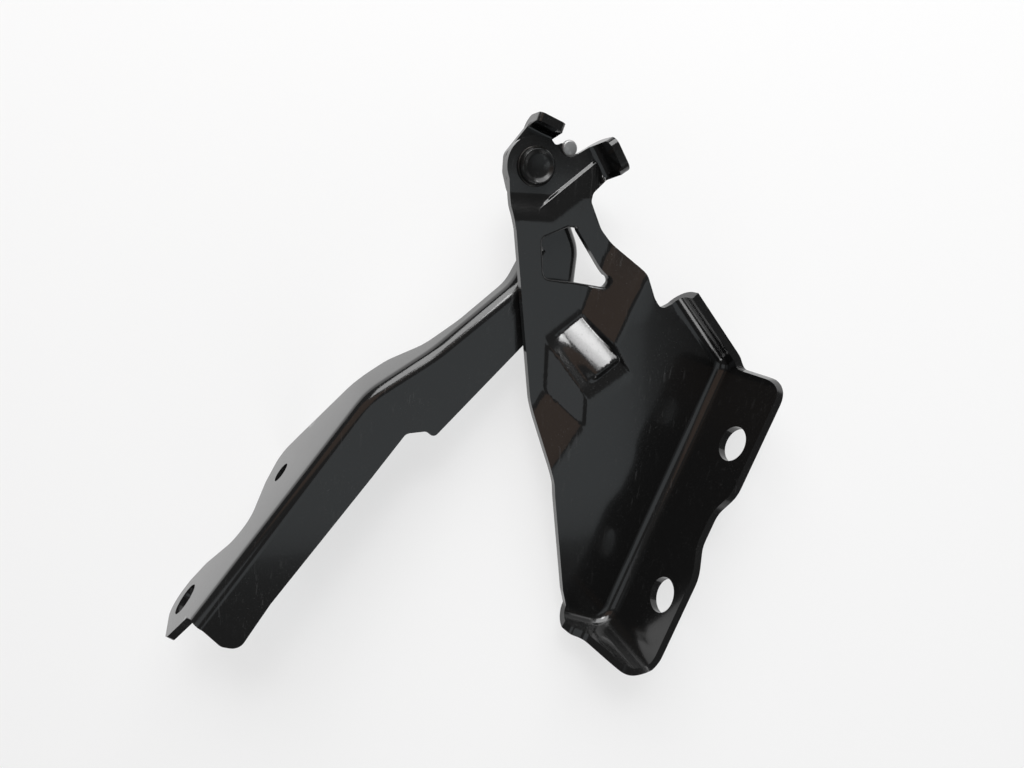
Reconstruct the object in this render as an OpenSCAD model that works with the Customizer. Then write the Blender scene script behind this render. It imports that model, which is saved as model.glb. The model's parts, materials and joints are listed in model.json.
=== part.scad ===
// Bonnet hinge: a pressed body bracket and a flanged bonnet arm that turn on one riveted pivot.
// The pieces are drawn about the pivot: X to the right, Z up, Y backwards along the pivot axis,
// with y = 0 on the front face of the bracket's head. stance() then lays them on their back.

/* [Sheet] */
// Thickness of both pressed sheets
sheet = 3; // [2.6:0.1:3.4]
// Inner radius of the bracket's wide bends
pan_bend = 4.5; // [3.5:0.5:6]
// Inner radius of the arm's bends
arm_bend = 2; // [1.5:0.5:3]

/* [Pivot] */
// Radius of the rivet's shank
shank_r = 4; // [3.5:0.1:4.4]
// Running clearance between the shank and the bush
shank_gap = 0.05; // [0.02:0.01:0.09]
// Wall of the bush's sleeve
bush_wall = 1; // [0.8:0.1:1.3]
// Radius of the bush's collar
collar_r = 6.95; // [6.6:0.05:7.6]
// Thickness of the bush's collar
collar_t = 0.8; // [0.6:0.1:1.2]
// Radius of the rivet's head
head_r = 6.45; // [6:0.05:6.6]
// Height of the rivet's head
head_h = 2.5; // [2:0.1:3]
// Depth of the dish in the rivet's head
dish_depth = 1.4; // [0.8:0.1:1.6]
// Thickness of the spacer washer between bracket and arm
spacer_t = 1.5; // [1.2:0.1:2]
// Radius of the spacer washer
spacer_r = 8; // [7:0.5:9]
// Clearance of the washers round the shank
washer_gap = 0.3; // [0.3:0.05:0.5]
// Thickness of the washer under the rivet's tail
tail_washer_t = 1.2; // [1:0.1:1.6]
// Radius of the washer under the rivet's tail
tail_washer_r = 7.5; // [7:0.1:8]
// Radius of the rivet's formed tail
tail_r = 6; // [5.5:0.1:6.5]
// Height of the rivet's formed tail
tail_h = 2.2; // [1.8:0.1:2.6]

/* [Body bracket] */
// Radius of the bracket's head round the pivot
bracket_head_r = 10.6; // [10:0.1:11.4]
// Depth of the small joggle below the head
neck_joggle = 2; // [1.5:0.1:2.5]
// Width of the small joggle's slope
neck_ramp = 5; // [4:0.5:7]
// Depth of the large joggle from the neck to the base
base_joggle = 13; // [11:0.5:14]
// Height of the short stiffening rib on the large joggle
rib_h = 3.5; // [2:0.5:4.5]
// Angle by which the mounting flange leans from upright
flange_lean = 22.6; // [20:0.2:25]
// Distance of the mounting flange's inner face from the pivot
flange_out = 97.6; // [94:0.2:100]
// Height of the mounting flange above the bracket's head face
flange_rise = 48.5; // [48:0.5:52]
// Depth of the waist in the flange's rim
flange_waist = 5; // [3:0.5:6]
// Radius of the two bolt holes in the mounting flange
body_hole_r = 6.5; // [5:0.25:6.5]
// Spacing of the bolt holes in the mounting flange
body_hole_pitch = 61.5; // [58:0.5:66]
// Height of the bolt holes above the bracket's head face
body_hole_rise = 38; // [35:0.5:38.5]
// Height of the upper lip's rim above the bracket's head face
lip_rise = 23; // [21:0.5:26]
// Width of the ear tab
ear_w = 13; // [10:0.5:14]
// Height of the ear tab above the bracket's head face
ear_rise = 11; // [8:0.5:13]

/* [Bonnet arm] */
// Radius of the arm's head round the pivot
arm_head_r = 10.9; // [10.4:0.1:11.4]
// Slope of the arm's straight part
arm_slope = 51.2; // [49:0.2:53]
// Length of the arm's flange from the pivot, along its slope
arm_reach = 220; // [212:1:226]
// Radius of the lower bolt hole in the arm's flange
arm_hole_r = 6.1; // [5:0.1:6.5]
// Radius of the upper bolt hole in the arm's flange
arm_small_hole_r = 4; // [3:0.25:5]
// Spacing of the bolt holes in the arm's flange
arm_hole_pitch = 60.8; // [56:0.2:64]
// Depth of the arm's flange at its lower bolt hole, behind the bracket's head face
arm_hole_back = 33.7; // [32:0.1:35]
// Depth of the arm's flange behind the bracket's head face at its upper lobe
arm_lobe_back = 57; // [54:0.5:59]
// Distance of the stop hook's underside from the pivot
hook_out = 13.4; // [13:0.1:15]
// Width of the stop hook
hook_w = 10.4; // [9:0.1:11]
// Reach of the stop hook in front of the bracket's head face
hook_front = 5; // [4:0.5:7]
// Radius of the stud beside the hook
stud_r = 3; // [2.5:0.1:3.2]
// Clearance between the stud and the bracket's back
stud_gap = 0.4; // [0.3:0.05:0.6]

/* [Stance] */
// Turn about the long way of the part, so that it lies on its back on three points
rest_roll = 26.05; // [24:0.05:28]
// Turn about the short way of the part, so that it lies on its back on three points
rest_pitch = 10.37; // [9:0.01:12]
// Height of the pivot's front above the floor
pivot_up = 33.87; // [30:0.01:40]
// Place of the pivot from the middle of the part, left to right
pivot_right = 22.68; // [20:0.01:25]
// Place of the pivot from the middle of the part, foot to head
pivot_ahead = 81.36; // [78:0.01:85]

/* [Hidden] */
$fn = 48;
BLACK = [0.05, 0.05, 0.055];
STEEL = [0.66, 0.67, 0.68];
BRONZE = [0.3, 0.28, 0.25];
// Reach of the prisms that trim a rim
FAR = 70;
// Flat webs stop this far short of a fold, and the folded sections start twice as far inside it
SEAM = 0.4;
// A folded tab is this much wider than the web that runs into it, at each end
TAB_STEP = 0.3;
// Length of a tab's section past the ends to which it is trimmed
SPARE = 2;

// Levels along the pivot, from the front to the back
arm_y = sheet + spacer_t;
arm_back_y = arm_y + sheet;
head_y = -collar_t;
base_y = -neck_joggle - base_joggle;

function unit(v) = v / norm(v);
function dir(a) = [cos(a), sin(a)];
// The normal on the right of a direction
function right_of(d) = [d.y, -d.x];
function turn(d, e) = atan2(d.x * e.y - d.y * e.x, d * e);
// The points of a corner b between a and c, rounded with radius r
function round_corner(a, b, c, r) =
    r == 0 ? [b] :
    let (d = unit(b - a), e = unit(c - b), t = turn(d, e), side = t > 0 ? -1 : 1)
    let (back = r * tan(abs(t) / 2), m = b - d * back + right_of(d) * r * side)
    let (start = b - d * back - m, steps = max(2, ceil(abs(t) / 18)))
    [for (i = [0:steps]) let (w = t * i / steps)
        m + [start.x * cos(w) - start.y * sin(w), start.x * sin(w) + start.y * cos(w)]];
// An outline of corners [x, z, radius] with its corners rounded
function rounded(c) = [for (i = [0:len(c) - 1])
    let (n = len(c), a = c[(i + n - 1) % n], b = c[i], e = c[(i + 1) % n])
    each round_corner([a.x, a.y], [b.x, b.y], [e.x, e.y], b.z)];

// A drawing in X and Z, given thickness from y0 to y1
module plate(y0, y1) {
    translate([0, y1, 0]) rotate([90, 0, 0]) linear_extrude(y1 - y0) children();
}

// A drawing in (distance along a slope, y), given thickness across the slope from n0 to n1
module across(slope, n0, n1) {
    rotate([0, -slope, 0]) translate([0, 0, -n1]) linear_extrude(n1 - n0) children();
}

// A bent section, drawn in (distance from the outer face, y), carried along a path of
// corners [x, z, radius]. The web lies on the right of the path. The section's first half
// is its outer side and its second half comes back along the inner side.
module along(path, profile) {
    stops = stations(path);
    n = len(profile);
    m = len(stops);
    points = [for (s = stops, q = profile) let (w = right_of(dir(s.z)))
        [s.x + w.x * q.x, q.y, s.y + w.y * q.x]];
    sides = [for (j = [0:m - 2], k = [0:n - 1]) let (a = j * n + k, b = j * n + (k + 1) % n)
        each [[a, b, b + n], [a, b + n, a + n]]];
    ends = [for (k = [0:n / 2 - 2]) let (c = (m - 1) * n)
        each [[k, n - 2 - k, k + 1], [k, n - 1 - k, n - 2 - k],
            [c + k, c + k + 1, c + n - 2 - k], [c + k, c + n - 2 - k, c + n - 1 - k]]];
    forwards = profile[0].y < profile[n - 1].y;
    polyhedron(points, [for (f = concat(sides, ends)) forwards ? f : [f[0], f[2], f[1]]]);
}

function corner_turn(p, i) = turn([p[i].x - p[i - 1].x, p[i].y - p[i - 1].y],
    [p[i + 1].x - p[i].x, p[i + 1].y - p[i].y]);
function corner_back(p, i) = p[i].z * tan(abs(corner_turn(p, i)) / 2);
function step_dir(p, i) = unit([p[i].x - p[i - 1].x, p[i].y - p[i - 1].y]);
// The same path, moved to its right by d
function inset(p, d) = [for (i = [0:len(p) - 1])
    let (before = step_dir(p, max(i, 1)), after = step_dir(p, min(i + 1, len(p) - 1)))
    let (swing = turn(before, after), m = unit(right_of(before) + right_of(after)))
    let (q = [p[i].x, p[i].y] + m * d / cos(swing / 2))
    [q.x, q.y, p[i].z == 0 ? 0 : max(0, p[i].z + (swing > 0 ? d : -d))]];

// Points and headings along a path: its ends and the steps round its corners
BEND_STEP = 9;
function stations(p) = concat(
    [let (d = step_dir(p, 1)) [p[0].x, p[0].y, atan2(d.y, d.x)]],
    [for (i = [1:len(p) - 2]) if (len(p) > 2) each corner_stations(p, i)],
    [let (e = len(p) - 1, d = step_dir(p, e)) [p[e].x, p[e].y, atan2(d.y, d.x)]]);
function corner_stations(p, i) =
    let (d = step_dir(p, i), swing = corner_turn(p, i), r = p[i].z, steps = ceil(abs(swing) / BEND_STEP))
    let (start = [p[i].x, p[i].y] - d * corner_back(p, i))
    let (middle = start + right_of(d) * r * (swing < 0 ? 1 : -1), arm = start - middle)
    [for (j = [0:steps]) let (w = swing * j / steps)
        [middle.x + arm.x * cos(w) - arm.y * sin(w), middle.y + arm.x * sin(w) + arm.y * cos(w),
            atan2(d.y, d.x) + w]];

// The section of a sheet bent square: a strip of web, the bend and a wall up to y = rim.
// out is the web's face on the outside of the bend, and way is 1 for a wall towards +Y.
function square_bend(out, way, inner_r, strip, rim) =
    let (r = inner_r + sheet, steps = 6)
    concat([[r + strip, out]],
        [for (i = [0:steps]) let (w = 90 * i / steps)
            [r - r * sin(w), out + way * (r - r * cos(w))]],
        [[0, rim], [sheet, rim]],
        [for (i = [steps:-1:0]) let (w = 90 * i / steps)
            [r - inner_r * sin(w), out + way * (r - inner_r * cos(w))]],
        [[r + strip, out + way * sheet]]);

// Forms of the bracket's web

function clamp(t) = max(0, min(1, t));
function ease(t) = let (c = clamp(t)) c * c * (3 - 2 * c);
// Distance below or to the right of the line through p with slope a
function past(x, z, p, a) = [x - p.x, z - p.y] * right_of(dir(a));

// Corners of the formed web, at the upper edge of each slope
brown_top = [30.7, -26.9];
rib_right = [19.8, -51.9];
tongue_x = 6;
low_wall = [7.5, -79.1];
rib_mid = [15.5, -55];
rib_heading = -56.5;
rib_len = 21;
rib_half = 6.5;
rib_flank = 3;

// Depth of the web's front face in front of the head, as pressed
function small_step(x, z) =
    ease(max(past(x, z, [0, -9.5], 0), past(x, z, [7, -9], 37)) / neck_ramp);
function large_step(x, z) =
    let (wall = min(past(x, z, brown_top, 66.5) / 11, past(x, z, rib_right, 123.7) / 3 + 0.5))
    let (tongue = min((x - tongue_x) / 13, past(x, z, rib_right, 35.3) / 22))
    let (low = past(x, z, low_wall, 37.2) / 24)
    ease(max(wall, tongue, low));
function rib(x, z) =
    let (d = dir(rib_heading), u = [x - rib_mid.x, z - rib_mid.y] * d)
    let (v = [x - rib_mid.x, z - rib_mid.y] * right_of(d))
    ease((rib_half - abs(v)) / rib_flank) * ease((u + 1) / rib_flank)
        * ease((rib_len - u) / rib_flank);
function face_y(x, z) = -neck_joggle * small_step(x, z) - base_joggle * large_step(x, z)
    - rib_h * rib(x, z);
// The back face lies one sheet behind, measured square to the slope
function back_y(x, z) =
    let (e = 0.5, gx = (face_y(x + e, z) - face_y(x - e, z)) / (2 * e))
    let (gz = (face_y(x, z + e) - face_y(x, z - e)) / (2 * e))
    face_y(x, z) + sheet * sqrt(1 + gx * gx + gz * gz);

// Columns and rows of the formed slab, close together where it is pressed
cols = concat([for (x = [-14:3:40]) x], [44, 84]);
rows = concat([13], [for (z = [-8:-2.6:-21]) z], [for (z = [-24.5:-3.6:-118]) z], [-176]);

module formed_slab() {
    nx = len(cols);
    nz = len(rows);
    front = [for (z = rows, x = cols) [x, face_y(x, z), z]];
    back = [for (z = rows, x = cols) [x, back_y(x, z), z]];
    n = nx * nz;
    faces = concat(
        [for (j = [0:nz - 2], i = [0:nx - 2]) let (a = j * nx + i)
            each [[a, a + nx, a + nx + 1], [a, a + nx + 1, a + 1]]],
        [for (j = [0:nz - 2], i = [0:nx - 2]) let (a = n + j * nx + i)
            each [[a, a + nx + 1, a + nx], [a, a + 1, a + nx + 1]]],
        [for (i = [0:nx - 2]) each [[i, i + 1, n + i + 1], [i, n + i + 1, n + i]]],
        [for (i = [0:nx - 2]) let (a = (nz - 1) * nx + i)
            each [[a, n + a + 1, a + 1], [a, n + a, n + a + 1]]],
        [for (j = [0:nz - 2]) let (a = j * nx) each [[a, n + a, n + a + nx], [a, n + a + nx, a + nx]]],
        [for (j = [0:nz - 2]) let (a = j * nx + nx - 1)
            each [[a, n + a + nx, n + a], [a, a + nx, n + a + nx]]]);
    polyhedron(concat(front, back), [for (f = faces) [f[0], f[2], f[1]]]);
}

// Slope of the mounting flange, seen along the pivot, and its two directions
flange_slope = 90 - flange_lean;
flange_up = dir(flange_slope);
flange_side = right_of(flange_up);
// Ends of the flange along its slope
flange_top = -33.4;
flange_foot = -153.4;
// The upper lip's fold runs at this heading, through this point of its outer face
lip_heading = -48.2;
lip_start = [56.1, -41.6];
foot_r = 12;
lip_corner_r = 9;
function flange_point(n, s) = flange_side * n + flange_up * s;

outer_n = flange_out + sheet;
// Where the upper lip's outer face meets the flange's outer face
lip_dir = dir(lip_heading);
lip_meet = lip_start + lip_dir * (outer_n - lip_start * flange_side) / (lip_dir * flange_side);
foot_meet = flange_point(outer_n, flange_foot);
foot_end = flange_point(77, flange_foot);
rim_path = [[lip_start.x, lip_start.y, 0], [lip_meet.x, lip_meet.y, lip_corner_r],
    [foot_meet.x, foot_meet.y, foot_r], [foot_end.x, foot_end.y, 0]];
fold = pan_bend + sheet;

body_hole_s = -61.7;

// The ear's bend, measured square to its fold
ear_heading = -56.6;
ear_bend = 3;
ear_out = 26.8;
ear_start = 4.5;
function ear_point(n, u) = right_of(dir(ear_heading)) * -n + dir(ear_heading) * u;
ear_fold = ear_bend + sheet;
ear_a = ear_point(ear_out - ear_fold - SEAM, ear_start + TAB_STEP);
ear_b = ear_point(ear_out - ear_fold - SEAM, ear_start + ear_w - TAB_STEP);

// Outline of the web up to its bends
web_outline = let (edge = inset(rim_path, fold + SEAM), a = edge[0] + [lip_dir.x, lip_dir.y, 0] * TAB_STEP)
    concat(
        [for (w = [205:-15:55]) [bracket_head_r * cos(w), bracket_head_r * sin(w)]],
        rounded([[9.6, 6, 1], [12.6, 4.2, 3], [ear_a.x, ear_a.y, 0], [ear_b.x, ear_b.y, 0],
            [22, -8, 2.5], [21.4, -11, 2.5], [26.1, -20.7, 8], [32, -27, 6],
            [39.5, -36, 8], [43.2, -44.5, 5], [46.3, -48.6, 3], a, edge[1], edge[2], edge[3] + [-0.6, 0.25, 0],
            [13.4, -158, 3], [7.9, -119, 12], [7.4, -113.8, 12], [1.2, -84.2, 30],
            [-3.3, -50.3, 40], [-7, -22, 8], [-8.9, -14, 8]]));

module window() {
    polygon(rounded([[2.9, -24.6, 2.5], [13.3, -20.3, 2], [16.2, -20.4, 2], [29.6, -38.6, 2.5],
        [27.6, -41.6, 1.5], [15.7, -39.9, 10], [4.4, -38.8, 3]]));
}

// The mounting flange's rim and the upper lip's, along the flange's slope
module rim_outline() {
    top = -flange_rise;
    waist = top + flange_waist;
    polygon(rounded([[0, 0, 0], [0, -lip_rise, 0], [flange_top - 1, -lip_rise, 0],
        [flange_top - 1, top, 8], [-78, top, 12], [-87, waist, 10], [-100, waist, 10], [-110, top, 14],
        [-170, top, 0], [-170, 0, 0]]));
}

// What is cut from the wall of the foot, seen along the flange's slope
module foot_outline() {
    polygon(rounded([[60, -FAR, 0], [60, -lip_rise + 4, 0], [77, -lip_rise + 4, 0], [79, -lip_rise, 3],
        [84, -lip_rise - 1, 5], [91.5, -flange_rise + 3, 6], [outer_n + 1, -flange_rise - 1, 0],
        [outer_n + 1, -FAR, 0]]));
}

// The pan's folded rim: the upper lip, the mounting flange and the foot
module pan_rim() {
    difference() {
        intersection() {
            along(rim_path, square_bend(base_y + sheet, -1, pan_bend, 2 * SEAM, -flange_rise - 1));
            across(flange_slope, -FAR, 2 * FAR) rim_outline();
        }
        rotate([0, -flange_slope, 0]) translate([-160, 0, 0]) rotate([0, 90, 0])
            linear_extrude(160 + flange_foot + foot_r) foot_outline();
    }
}

// The ear tab, bent forwards square to the head
module ear_tab() {
    a = ear_point(ear_out, ear_start - SPARE);
    b = ear_point(ear_out, ear_start + ear_w + SPARE);
    intersection() {
        along([[a.x, a.y, 0], [b.x, b.y, 0]],
            square_bend(sheet, -1, ear_bend, 2 * SEAM, -ear_rise));
        rotate([0, -ear_heading, 0]) translate([0, 0, -FAR]) linear_extrude(2 * FAR)
            polygon(rounded([[ear_start, FAR, 0], [ear_start, -ear_rise, 3],
                [ear_start + ear_w, -ear_rise, 3], [ear_start + ear_w, FAR, 0]]));
    }
}

// A drill through the mounting flange at distance s along it
module body_drill(s) {
    p = flange_point(flange_out, s);
    translate([p.x, -body_hole_rise, p.y]) rotate([0, 90 + flange_lean, 0])
        cylinder(h = 6 * sheet, r = body_hole_r, center = true);
}

module body_bracket() {
    color(BLACK) difference() {
        union() {
            intersection() {
                formed_slab();
                plate(-FAR, FAR) polygon(web_outline);
            }
            pan_rim();
            ear_tab();
        }
        plate(-FAR, FAR) window();
        rotate([90, 0, 0]) cylinder(h = 6 * sheet, r = shank_r + shank_gap + bush_wall, center = true);
        for (i = [0, 1]) body_drill(body_hole_s - i * body_hole_pitch);
    }
}

// Parts on the pivot

module on_pivot(y) {
    translate([0, y, 0]) rotate([-90, 0, 0]) children();
}

// Rivet: dished head in front, shank through everything, formed tail behind
module pivot_rivet() {
    tail_y = arm_back_y + tail_washer_t - head_y;
    rim = 1.2;
    color(STEEL) on_pivot(head_y) rotate_extrude() polygon([[0, -head_h + dish_depth],
        [head_r - rim - 1.1, -head_h], [head_r - rim, -head_h], [head_r, -head_h + rim], [head_r, 0],
        [shank_r, 0], [shank_r, tail_y], [tail_r, tail_y], [tail_r, tail_y + 0.7],
        [tail_r - 1.5, tail_y + tail_h - 0.3], [tail_r - 3, tail_y + tail_h], [0, tail_y + tail_h]]);
}

// Bush: collar under the rivet's head and sleeve through the bracket
module pivot_bush() {
    bore = shank_r + shank_gap;
    color(BRONZE) on_pivot(-collar_t) rotate_extrude() polygon([[bore, 0], [collar_r, 0],
        [collar_r, collar_t], [bore + bush_wall, collar_t], [bore + bush_wall, collar_t + sheet],
        [bore, collar_t + sheet]]);
}

module spacer_washer() {
    color(BRONZE) on_pivot(sheet) difference() {
        cylinder(h = spacer_t, r = spacer_r);
        translate([0, 0, -1]) cylinder(h = spacer_t + 2, r = shank_r + washer_gap);
    }
}

module tail_washer() {
    color(STEEL) on_pivot(arm_back_y) difference() {
        cylinder(h = tail_washer_t, r = tail_washer_r);
        translate([0, 0, -1]) cylinder(h = tail_washer_t + 2, r = shank_r);
    }
}

// Bonnet arm

arm_dir = dir(arm_slope);
arm_side = right_of(arm_dir);
// Distance of the arm's outer flange face from the pivot
arm_line = 7.6;
arm_fold = arm_bend + sheet;
function arm_point(n, s) = arm_side * n + arm_dir * s;
// A narrow return along the edge that shows through the bracket's window
return_path = [[17.2, -18, 0], [21.6, -28, 16], [20.6, -41.5, 0]];
return_bend = 1;
return_depth = 7.5;
arm_tip = arm_point(arm_line, -arm_reach - 2);
arm_knee = [-58.6, -80.8];
// The fold: straight, then the gooseneck that rises behind the bracket's neck
arm_path = [[arm_tip.x, arm_tip.y, 0], [arm_knee.x, arm_knee.y, 30], [-34, -65.3, 60],
    [-4.5, -41.3, 18], [3, -27.5, 0]];

// The flange's rim along the arm's slope. Its end lobes are placed from the arm's tip, and
// its waist by its share of the reach.
tip_s = -arm_reach;
tip_edge = tip_s + 18.5;
module arm_rim_outline() {
    waist = arm_lobe_back - 27.5;
    polygon(rounded([[0, 0, 0], [0, 16, 0], [-0.264 * arm_reach, 15, 15], [-0.336 * arm_reach, 20, 15],
        [-0.395 * arm_reach, waist, 8], [-0.45 * arm_reach, waist, 12],
        [tip_s + 86, arm_lobe_back - 7, 10], [tip_s + 73, arm_lobe_back, 8],
        [tip_s + 62.5, arm_lobe_back - 10, 8], [tip_s + 53, waist, 8], [tip_s + 42, waist, 14],
        [tip_s + 24, 42.5, 14], [tip_s + 13, 46.5, 6], [tip_s, 46.5, 8], [tip_s + 1.5, 20.5, 4],
        [tip_s + 16, 13.5, 3], [tip_edge, 8, 2], [tip_edge, 0, 0]]));
}

arm_hole_s = tip_s + 11.5;
// The upper hole lies this much deeper than the lower one
arm_hole_step = 2.2;

module arm_drill(s, r, y) {
    p = arm_point(arm_line, s);
    translate([p.x, y, p.y]) rotate([0, 180 - arm_slope, 0])
        cylinder(h = 6 * sheet, r = r, center = true);
}

// The hook, measured square to its fold
hook_heading = -19.6;
hook_bend = 1.5;
hook_start = -6.7;
hook_top = hook_out + sheet;
hook_fold = hook_bend + sheet;
function hook_point(n, t) = right_of(dir(hook_heading)) * -n + dir(hook_heading) * t;

stud_at = [14.3, 7.4];

// Outline of the arm's web, up to its bends
arm_outline = let (
        a = hook_point(hook_top - hook_fold - SEAM, hook_start + TAB_STEP),
        b = hook_point(hook_top - hook_fold - SEAM, hook_start + hook_w - TAB_STEP),
        tip = arm_point(arm_line + arm_fold + SEAM, tip_edge - 0.5),
        below = arm_point(25.9, tip_s + 38.4),
        corner = arm_point(27.4, tip_s + 18.4),
        end = arm_point(21.3, tip_s + 16.4),
        edge = inset(arm_path, arm_fold + SEAM),
        right = inset(return_path, return_bend + sheet + SEAM))
    rounded([[a.x, a.y, 0], [b.x, b.y, 0], [9.2, 8, 1.5], [11, 9, 1], [17.8, 9.6, 3.2], [16, 2, 3.2],
        [11.3, 0, 3], [11.6, -6, 6], right[0] + [0.12, -TAB_STEP, 0], right[1],
        right[2] + [0.02, TAB_STEP, 0], [13, -48, 6], [-0.2, -64.5, 6],
        [-34, -98.6, 2], [-37, -96, 2], [-44.4, -96.4, 3], [-57, -112.4, 3], [below.x, below.y, 3],
        [corner.x, corner.y, 4], [end.x, end.y, 4], [tip.x, tip.y, 0], edge[1], edge[2], edge[3],
        edge[4] + [0, -3, 3], [-2, -18, 6], [-8.2, -8, 4],
        [1 - arm_head_r, -2, 4], [-9.7, 4.2, 4]]);

module arm_hook() {
    a = hook_point(hook_top, hook_start - SPARE);
    b = hook_point(hook_top, hook_start + hook_w + SPARE);
    intersection() {
        along([[a.x, a.y, 0], [b.x, b.y, 0]], square_bend(arm_back_y, -1, hook_bend, 2 * SEAM, -hook_front));
        rotate([0, -hook_heading, 0]) translate([0, 0, -FAR]) linear_extrude(2 * FAR)
            polygon(rounded([[hook_start, FAR, 0], [hook_start, -hook_front, 2],
                [hook_start + hook_w, -hook_front, 2], [hook_start + hook_w, FAR, 0]]));
    }
}

module bonnet_arm() {
    color(BLACK) difference() {
        union() {
            plate(arm_y, arm_back_y) polygon(arm_outline);
            intersection() {
                along(arm_path, square_bend(arm_y, 1, arm_bend, 2 * SEAM, FAR));
                across(arm_slope, -FAR, 2 * FAR) arm_rim_outline();
            }
            along(return_path, square_bend(arm_y, 1, return_bend, 2 * SEAM, arm_y + return_depth));
            arm_hook();
        }
        rotate([90, 0, 0]) cylinder(h = 12 * sheet, r = shank_r, center = true);
        arm_drill(arm_hole_s, arm_hole_r, arm_hole_back);
        arm_drill(arm_hole_s + arm_hole_pitch, arm_small_hole_r, arm_hole_back + arm_hole_step);
    }
}

// Bare stud on the lug beside the hook
module stop_stud() {
    face = sheet + stud_gap;
    color(STEEL) translate([stud_at.x, face, stud_at.y]) rotate([-90, 0, 0])
        cylinder(h = arm_y - face, r = stud_r);
}

module stance() {
    translate([pivot_right, pivot_ahead, pivot_up])
        rotate([rest_pitch, 0, 0]) rotate([0, rest_roll, 0]) rotate([-90, 0, 0]) children();
}

stance() body_bracket();
stance() bonnet_arm();
stance() pivot_rivet();
stance() pivot_bush();
stance() spacer_washer();
stance() tail_washer();
stance() stop_stud();
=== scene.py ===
# %% [markdown]
# A bonnet hinge, made the way its maker makes it. Two pieces of black sheet steel do all the work. Each is
# cut flat, pierced, and then folded and pressed to shape, and one rivet holds them together so that they
# can turn. This lesson keeps that order: flat blank, holes, softened edges, and only then the folds.
# Working flat is easier, because a hole in a flat sheet is a plain round hole, and the fold then bends it
# along with the metal.

# %% The frame and the tools
from collections import namedtuple
import json
import math
import bpy
import numpy as np
from mathutils import Matrix, Vector

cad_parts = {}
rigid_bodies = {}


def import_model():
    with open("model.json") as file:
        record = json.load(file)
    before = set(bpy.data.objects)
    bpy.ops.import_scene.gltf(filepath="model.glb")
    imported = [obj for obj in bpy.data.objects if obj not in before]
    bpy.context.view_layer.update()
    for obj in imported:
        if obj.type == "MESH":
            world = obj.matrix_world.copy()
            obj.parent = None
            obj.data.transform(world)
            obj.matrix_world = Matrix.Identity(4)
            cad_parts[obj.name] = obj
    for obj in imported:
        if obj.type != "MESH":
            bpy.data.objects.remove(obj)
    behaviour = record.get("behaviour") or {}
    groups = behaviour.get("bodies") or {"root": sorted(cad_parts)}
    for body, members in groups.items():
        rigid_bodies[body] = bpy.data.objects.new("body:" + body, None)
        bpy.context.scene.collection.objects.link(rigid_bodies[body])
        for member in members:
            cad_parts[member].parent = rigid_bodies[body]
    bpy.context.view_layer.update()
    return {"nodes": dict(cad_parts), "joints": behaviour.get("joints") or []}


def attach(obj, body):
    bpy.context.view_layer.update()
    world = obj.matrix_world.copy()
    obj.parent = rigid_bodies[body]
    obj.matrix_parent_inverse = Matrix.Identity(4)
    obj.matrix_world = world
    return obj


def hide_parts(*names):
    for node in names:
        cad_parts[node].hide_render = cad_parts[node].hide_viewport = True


for leftover in list(bpy.data.objects):
    bpy.data.objects.remove(leftover)
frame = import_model()
print("Solids in the frame:", ", ".join(sorted(frame["nodes"])))

# %% [markdown]
# The hinge is drawn about its pivot, in millimetres, because every size on it is measured from there: x
# runs to the right, y backwards along the pivot and z up. The finished part lies on its back. One turn and
# one move take a drawing to that place, so every piece is made about the pivot first and laid down
# afterwards.

# %% From the drawing to the place where the part lies
MM = 0.001
SHEET = 3.0
REST_ROLL = 26.05
REST_PITCH = 10.37
PIVOT_PLACE = (22.68, 81.36, 33.87)
lay_down = (Matrix.Rotation(math.radians(REST_PITCH), 4, "X")
            @ Matrix.Rotation(math.radians(REST_ROLL), 4, "Y")
            @ Matrix.Rotation(math.radians(-90), 4, "X"))
rotation = np.array(lay_down.to_3x3())


def placed(points):
    """Points of the drawing in millimetres, as points of the lying part in metres."""
    return (np.asarray(points, float) @ rotation.T + PIVOT_PLACE) * MM


pivot = frame["joints"][0]["pos_m"]
print("Pivot in the frame:", pivot, "and by this lesson:", placed((0, SHEET / 2, 0)).round(4))

# %% [markdown]
# A drawing is a list of corners, each with its own rounding radius, as a draughtsman would give it. The
# helper turns such a list into points. It works for a closed outline and for an open edge whose two ends
# stay sharp.

# %% Directions and rounded corners
HARDLY_TURNS = 0.02


def heading(angle):
    """The direction at this many degrees from x towards z."""
    return np.array([math.cos(math.radians(angle)), math.sin(math.radians(angle))])


def right_of(d):
    return np.array([d[1], -d[0]])


def unit(v):
    return v / np.linalg.norm(v)


def swing(d, e):
    """The angle in radians from one direction to another."""
    return math.atan2(d[0] * e[1] - d[1] * e[0], d @ e)


def swung(v, w):
    """A vector turned by an angle in radians."""
    return np.array([v[0] * math.cos(w) - v[1] * math.sin(w), v[0] * math.sin(w) + v[1] * math.cos(w)])


def corner_arc(a, b, c, radius, step):
    """Points round the corner b of a line a, b, c, at most this many degrees apart."""
    d = unit(b - a)
    t = swing(d, unit(c - b))
    if radius == 0 or abs(t) < HARDLY_TURNS:
        return [b]
    start = b - d * radius * math.tan(abs(t) / 2)
    middle = start + right_of(d) * radius * (-1 if t > 0 else 1)
    count = max(2, math.ceil(math.degrees(abs(t)) / step))
    return [middle + swung(start - middle, t * i / count) for i in range(count + 1)]


def rounded(corners, closed=True, step=12):
    """Points along a line with corners (x, z, radius)."""
    flat = [np.array(c[:2], float) for c in corners]
    n = len(flat)
    points = []
    for i in range(n):
        if not closed and i in (0, n - 1):
            points.append(flat[i])
        else:
            points += corner_arc(flat[i - 1], flat[i], flat[(i + 1) % n], corners[i][2], step)
    return points


# %% [markdown]
# A fold is a line on the flat sheet and a bend radius. What lies outside the line is rolled round the
# radius and then stands up as a wall. The line may turn corners, and there the wall turns with it. The
# class below keeps the line as straight runs and arcs, tells how far outside it a point of the flat sheet
# lies, and finds the place on the flat sheet from which a given point of the finished wall comes.

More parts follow.
